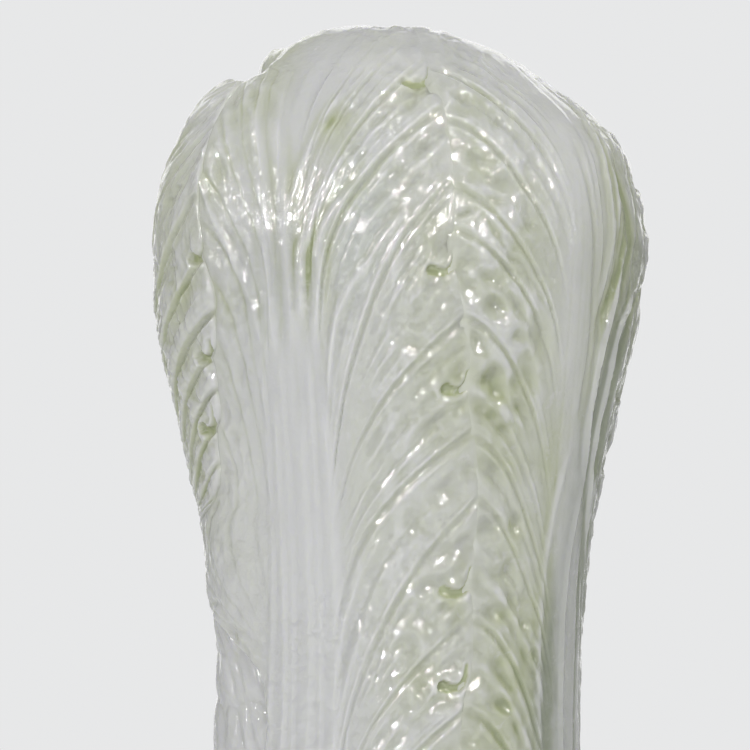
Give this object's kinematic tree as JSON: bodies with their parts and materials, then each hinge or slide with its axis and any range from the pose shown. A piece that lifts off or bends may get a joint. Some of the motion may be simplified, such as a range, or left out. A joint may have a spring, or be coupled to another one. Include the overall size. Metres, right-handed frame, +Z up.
{
  "type": "jade cabbage carving",
  "caption": "Upright pale jade carving of a napa cabbage with overlapping veined, frilled leaves, standing in the socket of a low turned hardwood stand on scrolled feet.",
  "frame": {"origin": "on the table under the middle of the stand's felt pads", "axes": "+Z up along the carving; the carving's front, the side in the picture, looks along -Y; +X is the picture's right"},
  "size_m": [0.126, 0.126, 0.2863],
  "materials": {
    "jade": "polished nephrite, white stalks shading to pale yellow-green in the blades",
    "rosewood": "dark rosewood, rubbed satin polish",
    "felt": "dark wool felt"
  },
  "bodies": {
    "stand": {"stand_top": "rosewood", "stand_apron": "rosewood", "socket_felt": "felt", "foot_front_right": "rosewood", "foot_back_right": "rosewood", "foot_back_left": "rosewood", "foot_front_left": "rosewood", "foot_pad_front_right": "felt", "foot_pad_back_right": "felt", "foot_pad_back_left": "felt", "foot_pad_front_left": "felt"},
    "carving": {"root_end": "jade", "heart": "jade", "front_leaf": "jade", "right_leaf": "jade", "back_leaf": "jade", "left_leaf": "jade", "inner_right_leaf": "jade", "inner_back_leaf": "jade", "inner_left_leaf": "jade", "inner_front_leaf": "jade"}
  },
  "joints": [
    {"name": "carving_lift", "type": "slide", "parent": "stand", "child": "carving", "axis": [0, 0, 1], "range_m": [0, 0.03]}
  ]
}
